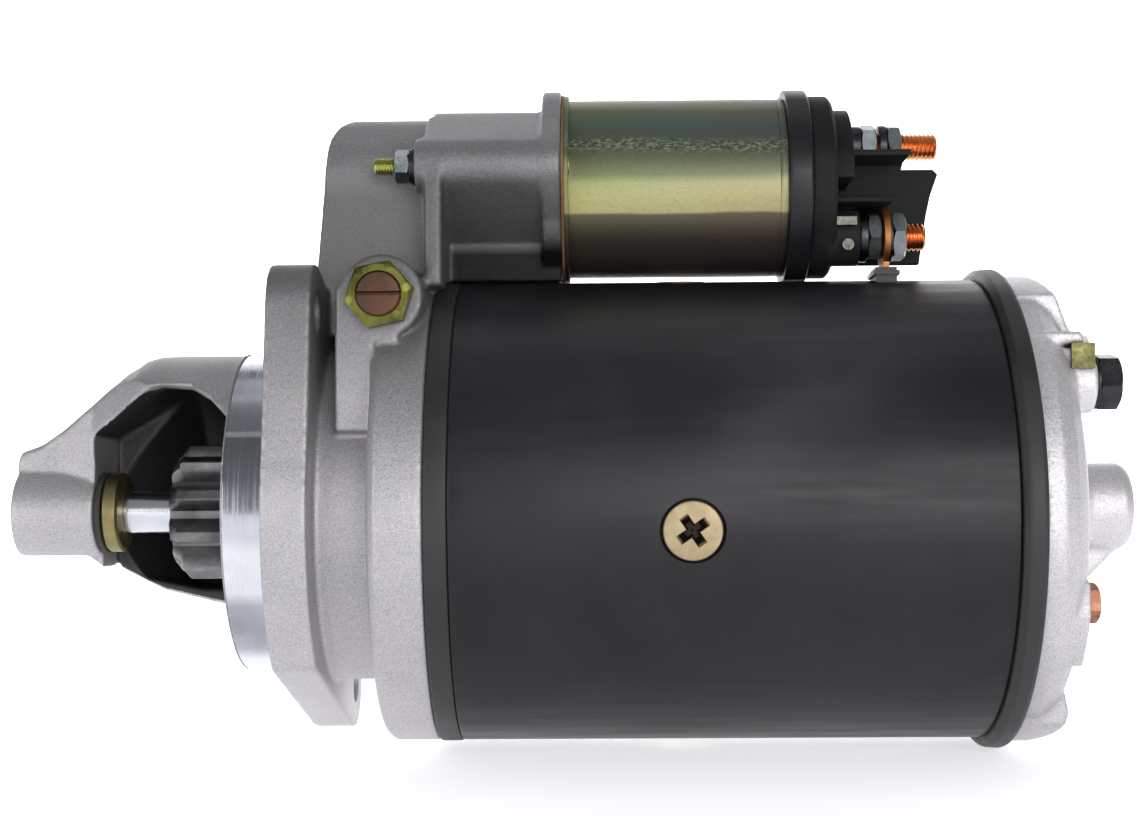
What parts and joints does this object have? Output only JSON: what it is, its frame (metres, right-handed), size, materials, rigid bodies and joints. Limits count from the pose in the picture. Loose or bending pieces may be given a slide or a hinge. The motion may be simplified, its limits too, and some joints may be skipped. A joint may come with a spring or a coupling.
{
  "type": "starter motor",
  "caption": "pre-engaged starter motor: cast nose with pinion window, spigot and flange, black steel yoke, cast rear cover and a solenoid on top",
  "frame": {"origin": "on the armature axis, in the plane of the mounting flange's face", "axes": "-X is the pinion end and +X the commutator end, +Z is towards the solenoid, -Y is the side with the pinion window and the pivot pin's nut"},
  "size_m": [0.3137, 0.1344, 0.1864],
  "materials": {
    "cast_aluminium": "sand cast, fine grain",
    "bearing_bronze": "sintered, oiled",
    "black_fibre": "hard fibre",
    "black_rubber": "moulded",
    "black_paint": "satin black enamel",
    "soft_iron": "turned",
    "copper_wire": "enamelled copper",
    "bright_steel": "ground",
    "black_steel": "oil blacked",
    "yellow_zinc": "yellow zinc plated",
    "copper_plate": "copper plated",
    "brush_carbon": "copper carbon",
    "brush_frame": "pressed steel",
    "gasket": "cork rubber",
    "natural_plastic": "moulded nylon",
    "black_plastic": "moulded phenolic",
    "black_ring": "black enamel"
  },
  "bodies": {
    "housing": {"drive_end_nose": "cast_aluminium", "drive_end_flange": "cast_aluminium", "drive_end_housing": "cast_aluminium", "nose_bush": "bearing_bronze", "thrust_washer": "black_fibre", "intermediate_bracket": "cast_aluminium", "centre_bush": "bearing_bronze", "front_seal_ring": "black_rubber", "yoke": "black_paint", "pole_shoes": "soft_iron", "field_coils": "copper_wire", "pole_screws": "yellow_zinc", "rear_seal_ring": "black_rubber", "rear_cover": "cast_aluminium", "rear_bush": "bearing_bronze", "through_bolts": "black_steel", "cover_screw": "copper_plate", "earth_clip": "yellow_zinc", "brush_holder": "brush_frame", "brush_springs": "bright_steel", "motor_lead": "copper_plate", "lead_grommet": "black_rubber", "solenoid_can": "yellow_zinc", "solenoid_gasket": "gasket", "solenoid_core": "soft_iron", "solenoid_bobbin": "natural_plastic", "solenoid_winding": "copper_wire", "solenoid_end_ring": "black_ring", "terminal_cap": "black_plastic", "battery_stud": "copper_plate", "motor_stud": "copper_plate", "terminal_nuts": "bright_steel", "terminal_washers": "bright_steel", "blade_terminal": "yellow_zinc", "solenoid_studs": "yellow_zinc", "solenoid_nuts": "bright_steel", "solenoid_washers": "yellow_zinc", "pivot_pin": "copper_plate", "pivot_lock_nut": "yellow_zinc", "plunger_spring": "bright_steel"},
    "armature": {"armature_shaft": "bright_steel", "armature_core": "soft_iron", "armature_winding": "copper_wire", "commutator": "copper_plate", "stop_collar": "yellow_zinc"},
    "drive": {"clutch_body": "black_steel", "clutch_rollers": "bright_steel"},
    "pinion_gear": {"pinion": "bright_steel"},
    "lever": {"engaging_lever": "black_steel"},
    "solenoid_plunger": {"plunger": "bright_steel", "plunger_pin": "bright_steel"},
    "contact_bridge": {"moving_contact": "copper_plate"},
    "brush_a": {"brush_1": "brush_carbon"},
    "brush_b": {"brush_2": "brush_carbon"},
    "brush_c": {"brush_3": "brush_carbon"},
    "brush_d": {"brush_4": "brush_carbon"}
  },
  "joints": [
    {"name": "armature_spin", "type": "hinge", "parent": "housing", "child": "armature", "pos_m": [0, 0, 0], "axis": [1, 0, 0], "continuous": true},
    {"name": "drive_slide", "type": "slide", "parent": "armature", "child": "drive", "axis": [-1, 0, 0], "range_m": [0, 0.014], "stiffness_N_per_m": 1500, "springref_m": -0.004},
    {"name": "pinion_overrun", "type": "hinge", "parent": "drive", "child": "pinion_gear", "pos_m": [0, 0, 0], "axis": [1, 0, 0], "continuous": true},
    {"name": "lever_swing", "type": "hinge", "parent": "housing", "child": "lever", "pos_m": [0.0298, 0, 0.0557], "axis": [0, 1, 0], "range_deg": [0, 14.5]},
    {"name": "plunger_slide", "type": "slide", "parent": "housing", "child": "solenoid_plunger", "axis": [1, 0, 0], "range_m": [0, 0.009], "deforming": ["plunger_spring"]},
    {"name": "contact_slide", "type": "slide", "parent": "housing", "child": "contact_bridge", "axis": [1, 0, 0], "range_m": [0, 0.0021]},
    {"name": "brush_a_lift", "type": "slide", "parent": "housing", "child": "brush_a", "axis": [0, -0.9972, -0.075], "range_m": [0, 0.004], "stiffness_N_per_m": 200, "springref_m": -0.006, "deforming": ["brush_springs"]},
    {"name": "brush_b_lift", "type": "slide", "parent": "housing", "child": "brush_b", "axis": [0, 0.075, -0.9972], "range_m": [0, 0.004], "stiffness_N_per_m": 200, "springref_m": -0.006, "deforming": ["brush_springs"]},
    {"name": "brush_c_lift", "type": "slide", "parent": "housing", "child": "brush_c", "axis": [0, 0.9972, 0.075], "range_m": [0, 0.004], "stiffness_N_per_m": 200, "springref_m": -0.006, "deforming": ["brush_springs"]},
    {"name": "brush_d_lift", "type": "slide", "parent": "housing", "child": "brush_d", "axis": [0, -0.075, 0.9972], "range_m": [0, 0.004], "stiffness_N_per_m": 200, "springref_m": -0.006, "deforming": ["brush_springs"]}
  ],
  "couplings": [
    {"joint": "lever_swing", "follows": "drive_slide", "rad_per_m": 17.953},
    {"joint": "plunger_slide", "follows": "drive_slide", "ratio": 0.6425},
    {"joint": "contact_slide", "follows": "drive_slide", "ratio": 0.143}
  ]
}
